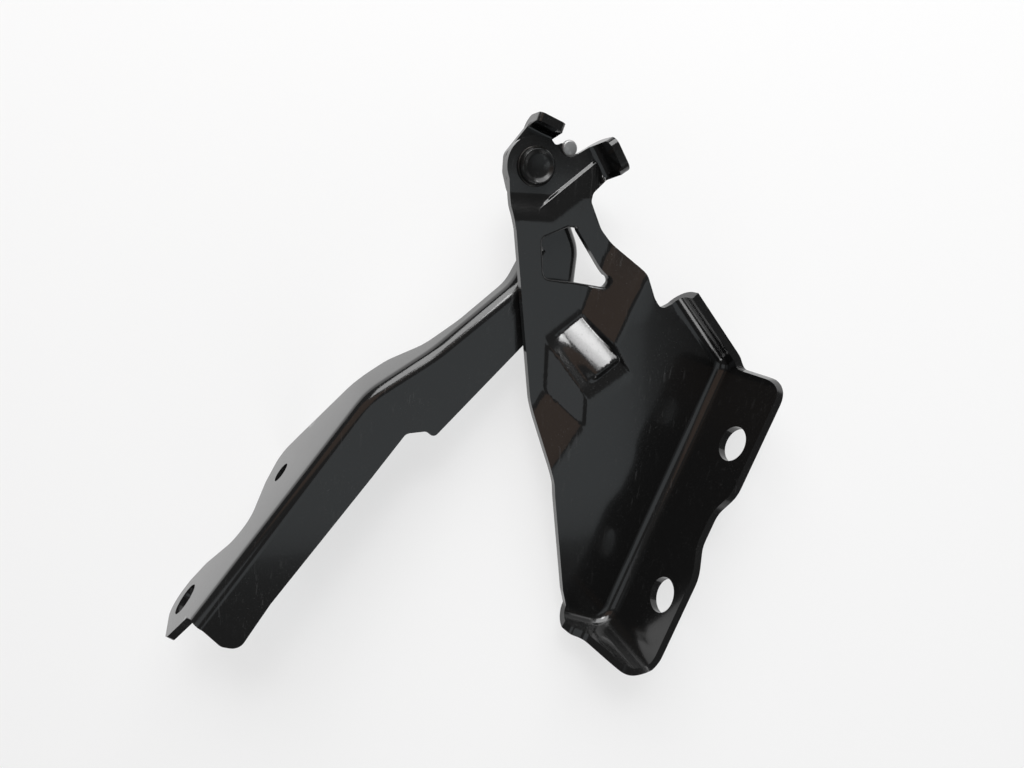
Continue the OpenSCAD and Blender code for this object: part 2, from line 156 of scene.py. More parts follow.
# %% A fold line
SAMPLES = 1500
NEAR = 0.0001
HAIR = 0.000001
WALL_REACH = 90

# A straight run starts at a point and goes one way. An arc goes round a point, and its way leads from
# there to its start.
Run = namedtuple("Run", "at way first length radius turn side")


class Fold:
    """A fold along corners (x, z, radius) of the finished wall's outer face. The web is on the right."""

    def __init__(self, corners, inner, way, level):
        self.setback = inner + SHEET
        self.front_radius = inner if way < 0 else inner + SHEET
        self.way = way
        self.level = level
        self.roll = self.front_radius * math.pi / 2
        self.runs = []
        self.length = 0.0
        at = [np.array(c[:2], float) for c in corners]
        start = at[0]
        for i in range(1, len(at) - 1):
            d = unit(at[i] - at[i - 1])
            e = unit(at[i + 1] - at[i])
            t = swing(d, e)
            radius = corners[i][2]
            back = radius * math.tan(abs(t) / 2)
            stop = at[i] - d * back
            side = 1 if t < 0 else -1
            centre = stop + right_of(d) * radius * side
            self.add_run(start, d, float(np.linalg.norm(stop - start)))
            self.add_run(centre, unit(stop - centre), radius * abs(t), radius, t, side)
            start = at[i] + e * back
        self.add_run(start, unit(at[-1] - at[-2]), float(np.linalg.norm(at[-1] - start)))

    def add_run(self, at, way, length, radius=0, turn=0, side=0):
        self.runs.append(Run(at, way, self.length, length, radius, turn, side))
        self.length += length

    def outer(self, t):
        """Point of the finished wall's outer face, and the way out of it, at length t along the fold."""
        for run in self.runs:
            if t <= run.first + run.length + HAIR:
                break
        if run.radius == 0:
            return run.at + run.way * (t - run.first), -right_of(run.way)
        spoke = swung(run.way, run.turn * (t - run.first) / run.length)
        return run.at + spoke * run.radius, spoke * run.side

    def flat(self, t, out):
        """Point of the flat sheet at length t along the fold, this far outside the line where it starts."""
        at, way_out = self.outer(t)
        return at + way_out * (out - self.setback)

    def out_of(self, y):
        """How far outside the line the flat sheet has the point that ends at depth y of the wall."""
        rise = max(0.0, self.way * (y - self.level))
        if rise < self.front_radius:
            return self.front_radius * math.acos(1 - rise / self.front_radius)
        return self.roll + rise - self.front_radius

    def along(self, axis, value, first=0.0):
        """Length along the fold at which its outer face has this coordinate along an axis."""
        ts = np.linspace(first, self.length, SAMPLES)
        values = np.array([self.outer(t)[0] @ axis for t in ts])
        order = np.argsort(values)
        return float(np.interp(value, values[order], ts[order]))

    def locate(self, p):
        """How far outside the fold points of the flat sheet are, below 0 on the web, and their way out."""
        far = np.full(len(p), -1.0)
        ways = np.zeros((len(p), 2))
        for run in self.runs:
            rel = p - run.at
            if run.radius == 0:
                t = rel @ run.way
                inside = (t > -NEAR) & (t < run.length + NEAR)
                way_out = np.tile(-right_of(run.way), (len(p), 1))
                e = rel @ -right_of(run.way)
            else:
                size = np.linalg.norm(rel, axis=1)
                w = np.arctan2(run.way[0] * rel[:, 1] - run.way[1] * rel[:, 0], rel @ run.way)
                inside = (w * np.sign(run.turn) > -NEAR) & (abs(w) < abs(run.turn) + NEAR)
                way_out = rel / size[:, None] * run.side
                e = (size - run.radius) * run.side
            d = e + self.setback
            take = inside & (d > 0) & (d < WALL_REACH) & (far < 0)
            far[take] = d[take]
            ways[take] = way_out[take]
        return far, ways


# %% [markdown]
# The real blank is cut by a die from a coil of sheet. Here the web starts as one filled circle whose points
# are moved onto the drawn outline. Each wall starts as a grid that is laid along its fold, with rows close
# together where the metal will roll and wider apart where it stays flat, so the bends come out round. The
# web and the walls are joined at their shared points, and the whole sheet is pulled out to its thickness.

# %% Cutting a blank
WELD = 0.02
BEND_ROWS = 8
ARC_STEP = 6
CROWDED = 0.4
LEAN = 0.01
FROM_THE_FOLD = ([0, 1], [0, 0])


def alone(piece):
    bpy.ops.object.select_all(action="DESELECT")
    piece.select_set(True)
    bpy.context.view_layer.objects.active = piece


def set_points(mesh, points):
    mesh.vertices.foreach_set("co", np.asarray(points, float).ravel())
    mesh.update()


def get_points(mesh):
    points = np.empty(len(mesh.vertices) * 3)
    mesh.vertices.foreach_get("co", points)
    return points.reshape(-1, 3)


def flat_points(points):
    """Points of the flat sheet as points of a blank that stands upright, in metres."""
    return np.array([(p[0], 0.0, p[1]) for p in points]) * MM


def web_sheet(outline):
    bpy.ops.mesh.primitive_circle_add(vertices=len(outline), fill_type="NGON")
    web = bpy.context.object
    set_points(web.data, flat_points(outline))
    return web


def wall_sheet(fold, ts, low, high, wall_rows):
    """The flat sheet of one wall: a column at each of ts, from low to high outside the fold."""
    rows = BEND_ROWS + wall_rows
    bpy.ops.mesh.primitive_grid_add(x_subdivisions=len(ts) - 1, y_subdivisions=rows)
    wall = bpy.context.object
    points = []
    for j in range(rows + 1):
        for t in ts:
            bottom = float(np.interp(t, *low))
            top = float(np.interp(t, *high))
            if j <= BEND_ROWS:
                out = fold.roll * j / BEND_ROWS
            else:
                out = fold.roll + max(0.0, top - fold.roll) * (j - BEND_ROWS) / wall_rows
            points.append(fold.flat(t, min(max(out, bottom), max(top, bottom))))
    set_points(wall.data, flat_points(points))
    return wall


def columns(fold, marks, pitch, first=0):
    """Places of a wall's columns: the drawn corners, and even steps between them."""
    last = fold.length
    ts = {round(t, 4) for t in marks if first <= t <= last}
    ts |= {round(first, 4), round(last, 4)}
    for run in fold.runs:
        step = pitch
        if run.radius > 0:
            step = min(pitch, run.length / max(2, math.degrees(abs(run.turn)) / ARC_STEP))
        for t in np.arange(run.first, run.first + run.length + HAIR, step):
            if first <= t <= last and min(abs(t - u) for u in ts) > step * CROWDED:
                ts.add(round(float(t), 4))
    return sorted(ts)


def tab_rim(fold, top, radius):
    """The rim of a plain tab: places along its fold, and how far outside it the flat sheet ends there."""
    end = fold.length
    rim = rounded([(0, fold.level, 0), (LEAN, top, radius), (end - LEAN, top, radius), (end, fold.level, 0)],
                  closed=False)
    return [t for t, y in rim], [fold.out_of(y) for t, y in rim]


def rim_along(fold, axis, rim):
    """The same for a rim whose points are drawn as (coordinate along an axis, depth)."""
    places = np.maximum.accumulate([fold.along(axis, s) for s, y in rim])
    return list(places), [fold.out_of(y) for s, y in rim]


def flat_chain(fold, ts):
    """The points at which a wall meets the web, as sharp corners of the web's outline."""
    return [(*fold.flat(t, 0), 0) for t in ts]


def blank(name, web, walls):
    """Web and walls joined into one flat sheet, pulled out to its thickness."""
    bpy.ops.object.select_all(action="DESELECT")
    for wall in walls:
        wall.select_set(True)
    web.select_set(True)
    bpy.context.view_layer.objects.active = web
    bpy.ops.object.join()
    piece = bpy.context.object
    piece.name = name
    piece.data.name = name
    bpy.ops.object.mode_set(mode="EDIT")
    bpy.ops.mesh.select_all(action="SELECT")
    bpy.ops.mesh.remove_doubles(threshold=WELD * MM)
    bpy.ops.mesh.normals_make_consistent(inside=False)
    bpy.ops.mesh.select_all(action="SELECT")
    bpy.ops.mesh.extrude_region_move(TRANSFORM_OT_translate={"value": (0, SHEET * MM, 0)})
    bpy.ops.mesh.select_all(action="SELECT")
    bpy.ops.mesh.normals_make_consistent(inside=False)
    bpy.ops.object.mode_set(mode="OBJECT")
    print(name, "blank:", len(piece.data.polygons), "faces")
    return piece


# %% [markdown]
# Holes are pierced while the sheet is flat. A tool body is pushed through the sheet and taken away from it
# with the Boolean modifier. Then every cut edge gets a tiny bevel, because coated steel never has a razor
# edge: without it, edges look like paper, and with it they catch a thin line of light.

# %% Piercing, softening the edges and cutting the web into small faces
TOOL_LENGTH = 30


def pierce(piece, tool):
    alone(piece)
    cut = piece.modifiers.new("pierce", "BOOLEAN")
    cut.operation = "DIFFERENCE"
    cut.solver = "EXACT"
    cut.object = tool
    bpy.ops.object.modifier_apply(modifier="pierce")
    bpy.data.objects.remove(tool)


def round_tool(x, z, radius):
    bpy.ops.mesh.primitive_cylinder_add(vertices=72, radius=radius * MM, depth=TOOL_LENGTH * MM,
                                        location=(x * MM, 0, z * MM), rotation=(math.radians(90), 0, 0))
    return bpy.context.object


def shaped_tool(outline):
    tool = web_sheet(outline)
    bpy.ops.object.mode_set(mode="EDIT")
    bpy.ops.mesh.select_all(action="SELECT")
    bpy.ops.transform.translate(value=(0, -TOOL_LENGTH / 2 * MM, 0))
    bpy.ops.mesh.extrude_region_move(TRANSFORM_OT_translate={"value": (0, TOOL_LENGTH * MM, 0)})
    bpy.ops.mesh.select_all(action="SELECT")
    bpy.ops.mesh.normals_make_consistent(inside=False)
    bpy.ops.object.mode_set(mode="OBJECT")
    return tool


def soften(piece, width):
    alone(piece)
    bevel = piece.modifiers.new("soften", "BEVEL")
    bevel.width = width * MM
    bevel.segments = 2
    bevel.limit_method = "ANGLE"
    bevel.angle_limit = math.radians(60)
    bevel.use_clamp_overlap = True
    bpy.ops.object.modifier_apply(modifier="soften")


def roll_rim(piece, outline, width):
    """Rounds the front and back rims of one hole, as a worn punch does."""
    rim = np.array([q[:2] for q in outline])
    points = get_points(piece.data) / MM
    near = [min(np.hypot(*(rim - q[[0, 2]]).T)) < WELD for q in points]
    alone(piece)
    bpy.ops.object.mode_set(mode="EDIT")
    bpy.ops.mesh.select_mode(type="EDGE")
    bpy.ops.mesh.select_all(action="DESELECT")
    bpy.ops.object.mode_set(mode="OBJECT")
    for edge in piece.data.edges:
        a, b = edge.vertices
        same_face = abs(points[a][1] - points[b][1]) < SHEET / 2
        edge.select = bool(near[a] and near[b] and same_face)
    bpy.ops.object.mode_set(mode="EDIT")
    bpy.ops.mesh.bevel(offset=width * MM, segments=3)
    bpy.ops.object.mode_set(mode="OBJECT")


def slice_web(piece, folds, lines):
    """Cuts the web, and not the walls, along lines that are given as (corner, angle)."""
    alone(piece)
    centres = np.empty(len(piece.data.polygons) * 3)
    piece.data.polygons.foreach_get("center", centres)
    centres = centres.reshape(-1, 3)[:, [0, 2]] / MM
    in_wall = np.zeros(len(centres), bool)
    for fold in folds:
        in_wall |= fold.locate(centres)[0] > WELD / 2
    bpy.ops.object.mode_set(mode="EDIT")
    bpy.ops.mesh.select_mode(type="FACE")
    bpy.ops.object.mode_set(mode="OBJECT")
    piece.data.polygons.foreach_set("select", in_wall)
    bpy.ops.object.mode_set(mode="EDIT")
    bpy.ops.mesh.hide(unselected=False)
    for corner, angle in lines:
        across = right_of(heading(angle))
        bpy.ops.mesh.select_all(action="SELECT")
        bpy.ops.mesh.bisect(plane_co=(corner[0] * MM, 0, corner[1] * MM), plane_no=(across[0], 0, across[1]),
                            threshold=WELD * MM)
    bpy.ops.mesh.reveal(select=False)
    bpy.ops.object.mode_set(mode="OBJECT")
    print(piece.name, "sliced:", len(piece.data.polygons), "faces")


# %% [markdown]
# Pressing is one function: it takes every point of the flat sheet to its place on the finished part. Inside
# the fold lines only the depth changes, by the shape of the press tool. Outside them the sheet rolls round
# the bend and stands up. The thickness goes along as well, so the sheet stays as thick as it was. The slope
# is taken over two millimetres, so that a sharp crease in front comes out softer at the back, as it does in
# real sheet.

# %% Pressing and finishing a sheet
def press(piece, folds, tool_depth, level):
    flat = get_points(piece.data) / MM
    xz = flat[:, [0, 2]]
    through = flat[:, 1]
    front = tool_depth(xz)
    slope_x = (tool_depth(xz + [1, 0]) - tool_depth(xz - [1, 0])) / 2
    slope_z = (tool_depth(xz + [0, 1]) - tool_depth(xz - [0, 1])) / 2
    back = front + through * np.sqrt(1 + slope_x ** 2 + slope_z ** 2)
    out = np.column_stack([xz[:, 0], level + back, xz[:, 1]])
    for fold in folds:
        far, ways = fold.locate(xz)
        m = far > 0
        r = fold.front_radius
        a = np.minimum(far[m] / r, math.pi / 2)
        wall = np.maximum(far[m] - fold.roll, 0)
        root = xz[m] - ways[m] * far[m][:, None]
        side = r * np.sin(a) - fold.way * through[m] * np.sin(a)
        out[m, 0] = root[:, 0] + ways[m][:, 0] * side
        out[m, 2] = root[:, 1] + ways[m][:, 1] * side
        out[m, 1] = fold.level + fold.way * (r * (1 - np.cos(a)) + wall) + through[m] * np.cos(a)
    set_points(piece.data, placed(out))


def smooth(piece, angle=52):
    alone(piece)
    bpy.ops.object.shade_smooth_by_angle(angle=math.radians(angle))
    for modifier in list(piece.modifiers):
        bpy.ops.object.modifier_apply(modifier=modifier.name)
    even = piece.modifiers.new("even", "WEIGHTED_NORMAL")
    even.keep_sharp = True
    bpy.ops.object.modifier_apply(modifier="even")


# %% [markdown]
# The bracket bolts to the car body. Its web starts at the round head on the pivot, steps forwards by 2 mm
# below it, narrows to a neck with a three-cornered window, and then drops forwards by 13 mm into a flat
# pan. A short rib stiffens the drop. The pan's rim is folded towards the viewer all round its lower right:
# a low lip at the top, the high bolting flange with its waist between the bolts, and a foot that falls away
# at the left.

# %% Sizes of the bracket
HEAD_R = 10.6
HEAD_STEP = 2.0
PAN_DROP = 13.0
PAN_BEND = 4.5
PAN_LEVEL = -HEAD_STEP - PAN_DROP
FLANGE_TILT = 22.6
FLANGE_RISE = 48.5
FLANGE_OUT = 97.6 + SHEET
FLANGE_FOOT = -153.4
FOOT_END = 77
LIP_RISE = 23.0
flange_up = heading(90 - FLANGE_TILT)
flange_side = right_of(flange_up)


def flange_point(n, s):
    return flange_side * n + flange_up * s


lip_start = np.array([56.1, -41.6])
lip_dir = heading(-48.2)
lip_meet = lip_start + lip_dir * (FLANGE_OUT - lip_start @ flange_side) / (lip_dir @ flange_side)
rim_fold = Fold([(*lip_start, 0), (*lip_meet, 9), (*flange_point(FLANGE_OUT, FLANGE_FOOT), 12),
                 (*flange_point(FOOT_END, FLANGE_FOOT), 0)], PAN_BEND, -1, PAN_LEVEL)

EAR_OUT = 26.8
EAR_FIRST = 4.5
EAR_LAST = 17.5
EAR_TOP = -11
ear_dir = heading(-56.6)


def ear_point(n, u):
    return right_of(ear_dir) * -n + ear_dir * u


ear_fold = Fold([(*ear_point(EAR_OUT, EAR_FIRST), 0), (*ear_point(EAR_OUT, EAR_LAST), 0)], 3.0, -1, 0.0)
print("Rim fold is", round(rim_fold.length, 1), "mm long, ear fold", round(ear_fold.length, 1), "mm")

# %% [markdown]
# The press tool is a height field made of straight slopes. Each slope starts on a line through a corner and
# is done after its width, and so it is written as (corner, angle, width). The step below the head falls by
# a part of its depth at once and fades out over the rest. Three slopes make the drop into the pan: a wall
# at the upper right, a tongue that runs down beside the rib, and a slope at the lower left.

# %% The press tool of the bracket's web
BEND = 0.2
HEAD_FOOT = (0, -9)
HEAD_FADE = 10
STEP = ((7, -9), 39, 0.9)
STEP_SHARE = 0.4
STEP_FADE = 8
SLOPES = (((30.7, -26.9), 66.5, 11), ((6, 0), 90, 13), ((8, -77), 55.2, 18))
MEET = (19.8, -51.9)
WALL_END = 123.7
WALL_END_WIDTH = 3
TONGUE_END = 35.3
TONGUE_END_WIDTH = 24
RIB_TOP = (16.0, -55.4)
RIB_WAY = -53.0
RIB_LENGTH = 19.0
RIB_OVER = 0.5
RIB_TOP_WIDTH = 1.0
RIB_FOOT_WIDTH = 2
RIB_RIGHT = 5.8
RIB_RIGHT_WIDTH = 1.0
RIB_LEFT = 9.2
RIB_LEFT_WIDTH = 3.8
RIB_LIFT = 0.02
RIB_CROWN = 0.025
RIB_CROWN_HALF = 5.2


def ease(t):
    c = np.clip(t, 0, 1)
    return c * c * (3 - 2 * c)


def past(p, corner, angle):
    """How far points lie below or to the right of a line through a corner."""
    return (p - np.array(corner, float)) @ right_of(heading(angle))


def ramp(t):
    """0 below 0 and 1 above 1, with a straight rise between them and short round bends at both ends."""
    low = np.clip((t + BEND) / (2 * BEND), 0, 1) ** 2 * BEND + np.maximum(t - BEND, 0)
    high = np.clip((t - 1 + BEND) / (2 * BEND), 0, 1) ** 2 * BEND + np.maximum(t - 1 - BEND, 0)
    return low - high


def rib_share(u, v):
    """1 on the rib and 0 off it, u millimetres down from its top and v to the lower left of its middle."""
    length = ramp((u + RIB_OVER) / RIB_TOP_WIDTH) * ramp((RIB_LENGTH + RIB_OVER - u) / RIB_FOOT_WIDTH)
    return ramp((RIB_LEFT - v) / RIB_LEFT_WIDTH) * ramp((RIB_RIGHT + v) / RIB_RIGHT_WIDTH) * length


def bracket_depth(p):
    """Depth of the front face of the bracket's web at points of the drawing."""
    step = past(p, *STEP[:2])
    sharp = ramp(step / STEP[2]) * STEP_SHARE + ease(step / STEP_FADE) * (1 - STEP_SHARE)
    small = np.maximum(ease(past(p, HEAD_FOOT, 0) / HEAD_FADE), sharp)
    wall, tongue, below = [past(p, corner, angle) / width for corner, angle, width in SLOPES]
    wall = np.minimum(wall, past(p, MEET, WALL_END) / WALL_END_WIDTH + 0.5)
    tongue = np.minimum(tongue, past(p, MEET, TONGUE_END) / TONGUE_END_WIDTH)
    large = ramp(np.maximum(np.maximum(wall, tongue), below))
    u = -past(p, RIB_TOP, RIB_WAY - 90)
    v = past(p, RIB_TOP, RIB_WAY)
    crown = RIB_CROWN * np.maximum(0, 1 - (v / RIB_CROWN_HALF) ** 2)
    rib_top = RIB_LIFT + u / RIB_LENGTH + crown
    return -HEAD_STEP * small - PAN_DROP * (large + (rib_top - large) * rib_share(u, v))


# %% The bracket's blank
top_rim = rounded([(lip_start @ flange_up, -LIP_RISE, 0), (-34.4, -LIP_RISE, 3), (-34.5, -FLANGE_RISE, 8),
                   (-78, -FLANGE_RISE, 12), (-87, -FLANGE_RISE + 5, 10), (-100, -FLANGE_RISE + 5, 10),
                   (-110, -FLANGE_RISE, 14), (-141, -FLANGE_RISE, 0)], closed=False)
foot_rim = rounded([(99, -FLANGE_RISE, 0), (91.5, -45.5, 6), (84, -24, 5), (79, -23, 3), (FOOT_END, -19, 0)],
                   closed=False)
last_corner = rim_fold.runs[3]
rim_ts = [rim_fold.along(flange_up, s) for s, y in top_rim]
rim_ts += [rim_fold.along(flange_side, n, last_corner.first) for n, y in foot_rim]
rim_ts = list(np.maximum.accumulate(rim_ts))
rim_high = (rim_ts, [rim_fold.out_of(y) for s, y in top_rim + foot_rim])
rim_columns = columns(rim_fold, rim_ts, 2.5)
ear_high = tab_rim(ear_fold, EAR_TOP, 3)
ear_columns = columns(ear_fold, ear_high[0], 1.5)

web_outline = rounded(
    [(*heading(w) * HEAD_R, 0) for w in range(205, 54, -6)]
    + [(9.4, 5.5, 1), (12.8, 3.4, 2.5)]
    + flat_chain(ear_fold, ear_columns)
    + [(22, -8, 2.5), (21.4, -11, 2.5), (26.1, -20.7, 8), (32, -27, 6), (39.5, -36, 8), (43.2, -44.5, 5),
       (46.3, -48.6, 3)]
    + flat_chain(rim_fold, rim_columns)
    + [(13.4, -158, 3), (7.9, -119, 12), (7.4, -113.8, 12), (1.2, -84.2, 30), (-3.3, -50.3, 40),
       (-7, -22, 8), (-8.9, -14, 8)])
web = web_sheet(web_outline)
rim_wall = wall_sheet(rim_fold, rim_columns, FROM_THE_FOLD, rim_high, 8)
ear_wall = wall_sheet(ear_fold, ear_columns, FROM_THE_FOLD, ear_high, 4)
bracket = blank("bracket_pressing", web, [rim_wall, ear_wall])

# %% Piercing the bracket
SHANK_R = 4.0
BORE_R = SHANK_R + 0.05
BUSH_R = BORE_R + 1.0
BODY_BOLT_R = 6.5
BODY_BOLT_PITCH = 61.5
UPPER_BODY_BOLT = -61.7
BODY_BOLT_DEPTH = -38
pierce(bracket, round_tool(0, 0, BUSH_R))
for s in (UPPER_BODY_BOLT, UPPER_BODY_BOLT - BODY_BOLT_PITCH):
    hole_t = rim_fold.along(flange_up, s)
    x, z = rim_fold.flat(hole_t, rim_fold.out_of(BODY_BOLT_DEPTH))
    pierce(bracket, round_tool(x, z, BODY_BOLT_R))
window = rounded([(2.9, -24.6, 2.5), (13.3, -20.3, 2), (16.2, -20.4, 2), (29.6, -38.6, 2.5),
                  (27.6, -41.6, 1.5), (15.7, -39.9, 10), (4.4, -38.8, 3)])
pierce(bracket, shaped_tool(window))
roll_rim(bracket, window, 0.9)
soften(bracket, 0.4)

# %% [markdown]
# A flat web is one big face, and a big face can't bend. So the web is cut along the lines on which the
# press tool bends it, some cuts for each bend, and along a plain grid where its slopes run into each other.

# %% Pressing the bracket
cuts = [((x, 0), 90) for x in (*np.arange(4, 11, 1.3), *np.arange(11, 33, 0.7))]
cuts += [((0, z), 0) for z in np.arange(-9, -20, -1.2)]
cuts += [((0, z), 0) for z in np.arange(-50, -82, -0.7)]
cuts += [((0, z), 0) for z in np.arange(-82, -97, -1)]
for corner, angle, width in (STEP, *SLOPES):
    across = right_of(heading(angle))
    for bend in (0, 1):
        cuts += [(corner + across * width * (bend + part * BEND), angle) for part in (-1, -0.5, 0, 0.5, 1)]
RIB_CUTS_ACROSS = (-6, -5.8, -5.6, -5, -4.8, -4.6, 4.7, 5.4, 6.1, 8.5, 9.2, 9.9)
RIB_CUTS_ALONG = (-0.7, -0.4, 0.4, 0.7, 17.6, 18.3, 19.7, 20.4)
cuts += [(RIB_TOP + right_of(heading(RIB_WAY)) * v, RIB_WAY) for v in RIB_CUTS_ACROSS]
cuts += [(RIB_TOP + heading(RIB_WAY) * u, RIB_WAY - 90) for u in RIB_CUTS_ALONG]
slice_web(bracket, [rim_fold, ear_fold], cuts)
press(bracket, [rim_fold, ear_fold], bracket_depth, 0.0)
smooth(bracket)
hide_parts("body_bracket")
print("Bracket:", len(bracket.data.polygons), "faces")

# %% [markdown]
# The arm bolts to the bonnet. Its web is flat and lies behind the bracket's head, and its outer edge is
# folded backwards from the tip, over the knee and up the gooseneck. That long wall is the flange with the
# bolt holes. It is narrow at the neck and has a lobe round each bolt, so its rim is drawn as a list of
# depths along the arm. A small hook at the top is folded forwards over the bracket's head, and stops the
# arm against the ear.

# %% Sizes of the arm
SPACER_T = 1.5
ARM_LEVEL = SHEET + SPACER_T
ARM_REACH = 220.0
arm_dir = heading(51.2)
arm_side = right_of(arm_dir)


def arm_point(n, s):
    return arm_side * n + arm_dir * s


arm_fold = Fold([(*arm_point(7.6, -ARM_REACH - 2), 0), (-58.6, -80.8, 30), (-34, -65.3, 60),
                 (-4.5, -41.3, 18), (3, -27.5, 0)], 2.0, 1, ARM_LEVEL)
return_fold = Fold([(17.2, -18, 0), (21.6, -28, 16), (20.6, -41.5, 0)], 1.0, 1, ARM_LEVEL)

HOOK_OUT = 16.4
HOOK_FIRST = -6.7
HOOK_LAST = 3.7
HOOK_TOP = -5
RETURN_TOP = 12
hook_dir = heading(-19.6)


def hook_point(n, u):
    return right_of(hook_dir) * -n + hook_dir * u


hook_fold = Fold([(*hook_point(HOOK_OUT, HOOK_FIRST), 0), (*hook_point(HOOK_OUT, HOOK_LAST), 0)], 1.5, -1,
                 ARM_LEVEL)

# %% The arm's blank
arm_rim = rounded([(0, 16, 0), (-58, 15, 15), (-74, 20, 15), (-87, 29.5, 8), (-99, 29.5, 12), (-134, 50, 10),
                   (-147, 57, 8), (-157.5, 47, 8), (-167, 29.5, 8), (-178, 29.5, 14), (-196, 42.5, 14),
                   (-207, 46.5, 6), (-ARM_REACH, 46.5, 8), (-218.5, 20.5, 4), (-204, 13.5, 3),
                   (-201.5, 8, 2), (-201.48, ARM_LEVEL, 0)], closed=False)
turn_back = int(np.argmin([s for s, y in arm_rim]))
arm_high = rim_along(arm_fold, arm_dir, arm_rim[turn_back::-1])
arm_low = rim_along(arm_fold, arm_dir, arm_rim[turn_back:])
joined_t = arm_low[0][-1]
arm_columns = columns(arm_fold, arm_high[0] + arm_low[0], 3.0, arm_low[0][0])
return_high = tab_rim(return_fold, RETURN_TOP, 2)
return_columns = columns(return_fold, return_high[0], 1.5)
hook_high = tab_rim(hook_fold, HOOK_TOP, 2)
hook_columns = columns(hook_fold, hook_high[0], 1.5)

arm_outline = rounded(
    flat_chain(hook_fold, hook_columns)
    + [(9.2, 8, 1.5), (11, 9, 1), (17.8, 9.6, 3.2), (16, 2, 3.2), (11.3, 0, 3), (11.6, -6, 6)]
    + flat_chain(return_fold, return_columns)
    + [(13, -48, 6), (-0.2, -64.5, 6), (-34, -98.6, 2), (-37, -96, 2), (-44.4, -96.4, 3), (-57, -112.4, 3),
       (*arm_point(25.9, -181.6), 3), (*arm_point(27.4, -201.6), 4), (*arm_point(21.3, -203.6), 4)]
    + flat_chain(arm_fold, [t for t in arm_columns if t >= joined_t])
    + [(-2, -18, 6), (-8.2, -8, 4), (-9.9, -2, 4), (-9.7, 4.2, 4)])
arm_web = web_sheet(arm_outline)
flange_wall = wall_sheet(arm_fold, arm_columns, arm_low, arm_high, 10)
return_wall = wall_sheet(return_fold, return_columns, FROM_THE_FOLD, return_high, 3)
hook_wall = wall_sheet(hook_fold, hook_columns, FROM_THE_FOLD, hook_high, 4)
arm = blank("arm_pressing", arm_web, [flange_wall, return_wall, hook_wall])

# %% Piercing and pressing the arm
LOWER_BONNET_BOLT = (-208.5, 33.7, 6.1)
UPPER_BONNET_BOLT = (-147.7, 35.9, 4.0)


def no_depth(p):
    return np.zeros(len(p))


pierce(arm, round_tool(0, 0, SHANK_R))
for s, y, radius in (LOWER_BONNET_BOLT, UPPER_BONNET_BOLT):
    x, z = arm_fold.flat(arm_fold.along(arm_dir, s), arm_fold.out_of(y))
    pierce(arm, round_tool(x, z, radius))
soften(arm, 0.35)
press(arm, [arm_fold, return_fold, hook_fold], no_depth, ARM_LEVEL)
smooth(arm)
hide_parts("bonnet_arm")
print("Arm:", len(arm.data.polygons), "faces")

# %% [markdown]
# Everything on the pivot is turned: the rivet, the bush with its collar, two washers and the stud. A half
# section is drawn as one closed line, starting from a circle whose points are moved onto it, and is spun
# once round the axis. Small roundings in the section give the edges their highlights.

# %% Turning a piece
def turned(name, section, x=0.0, z=0.0, steps=96):
    """Spins a section of (radius, y) points round the line through (x, z) along y."""
    hollow = min(q[0] for q in section) > 0
    bpy.ops.object.select_all(action="DESELECT")
    bpy.ops.mesh.primitive_circle_add(vertices=len(section), fill_type="NOTHING")
    piece = bpy.context.object
    piece.name = name
    piece.data.name = name
    set_points(piece.data, np.array([(q[0] + x, q[1], z) for q in section]) * MM)
    if not hollow:
        ends = {0, len(section) - 1}
        for edge in piece.data.edges:
            edge.select = set(edge.vertices) == ends
        for vertex in piece.data.vertices:
            vertex.select = vertex.index in ends
        bpy.ops.object.mode_set(mode="EDIT")
        bpy.ops.mesh.select_mode(type="EDGE")
        bpy.ops.mesh.delete(type="EDGE")
    else:
        bpy.ops.object.mode_set(mode="EDIT")
    bpy.ops.mesh.select_all(action="SELECT")
    bpy.ops.mesh.spin(steps=steps, angle=math.tau, center=(x * MM, 0, z * MM), axis=(0, 1, 0))
    bpy.ops.mesh.select_all(action="SELECT")
    bpy.ops.mesh.remove_doubles(threshold=WELD / 10 * MM)
    bpy.ops.mesh.normals_make_consistent(inside=False)
    bpy.ops.object.mode_set(mode="OBJECT")
    set_points(piece.data, placed(get_points(piece.data) / MM))
    smooth(piece, 40)
    print(name, "turned:", len(piece.data.polygons), "faces")
    return piece


# %% The rivet, the bush, the washers and the stud
COLLAR_T = 0.8
COLLAR_R = 6.95
HEAD_FRONT = -COLLAR_T - 2.5
RIVET_HEAD_R = 6.45
RIVET_TAIL_R = 6
LOOSE_R = SHANK_R + 0.3
ARM_BACK = ARM_LEVEL + SHEET
TAIL_Y = ARM_BACK + 1.2
SPACER_R = 8
WASHER_R = 7.5
STUD_R = 3
STUD_FRONT = 3.4
STUD_PLACE = (14.3, 7.4)
rivet = turned("rivet", rounded(
    [(0, HEAD_FRONT + 1.5, 0), (4.2, HEAD_FRONT + 0.9, 2), (5.4, HEAD_FRONT + 0.1, 0.3),
     (5.8, HEAD_FRONT, 0.2), (RIVET_HEAD_R, HEAD_FRONT + 0.9, 0.7), (RIVET_HEAD_R, -COLLAR_T, 0.1),
     (SHANK_R, -COLLAR_T, 0), (SHANK_R, TAIL_Y, 0), (RIVET_TAIL_R, TAIL_Y, 0.3),
     (RIVET_TAIL_R, TAIL_Y + 0.9, 0.6),
     (4.4, TAIL_Y + 2, 1.4), (0, TAIL_Y + 2.2, 0)], closed=False, step=15))
bush = turned("bush", rounded(
    [(BORE_R, -COLLAR_T, 0.1), (COLLAR_R, -COLLAR_T, 0.3), (COLLAR_R, 0, 0.1), (BUSH_R, 0, 0),
     (BUSH_R, SHEET, 0.2), (BORE_R, SHEET, 0.2)], step=20))
spacer = turned("spacer", rounded(
    [(LOOSE_R, SHEET, 0.2), (SPACER_R, SHEET, 0.3), (SPACER_R, ARM_LEVEL, 0.3), (LOOSE_R, ARM_LEVEL, 0.2)],
    step=20))
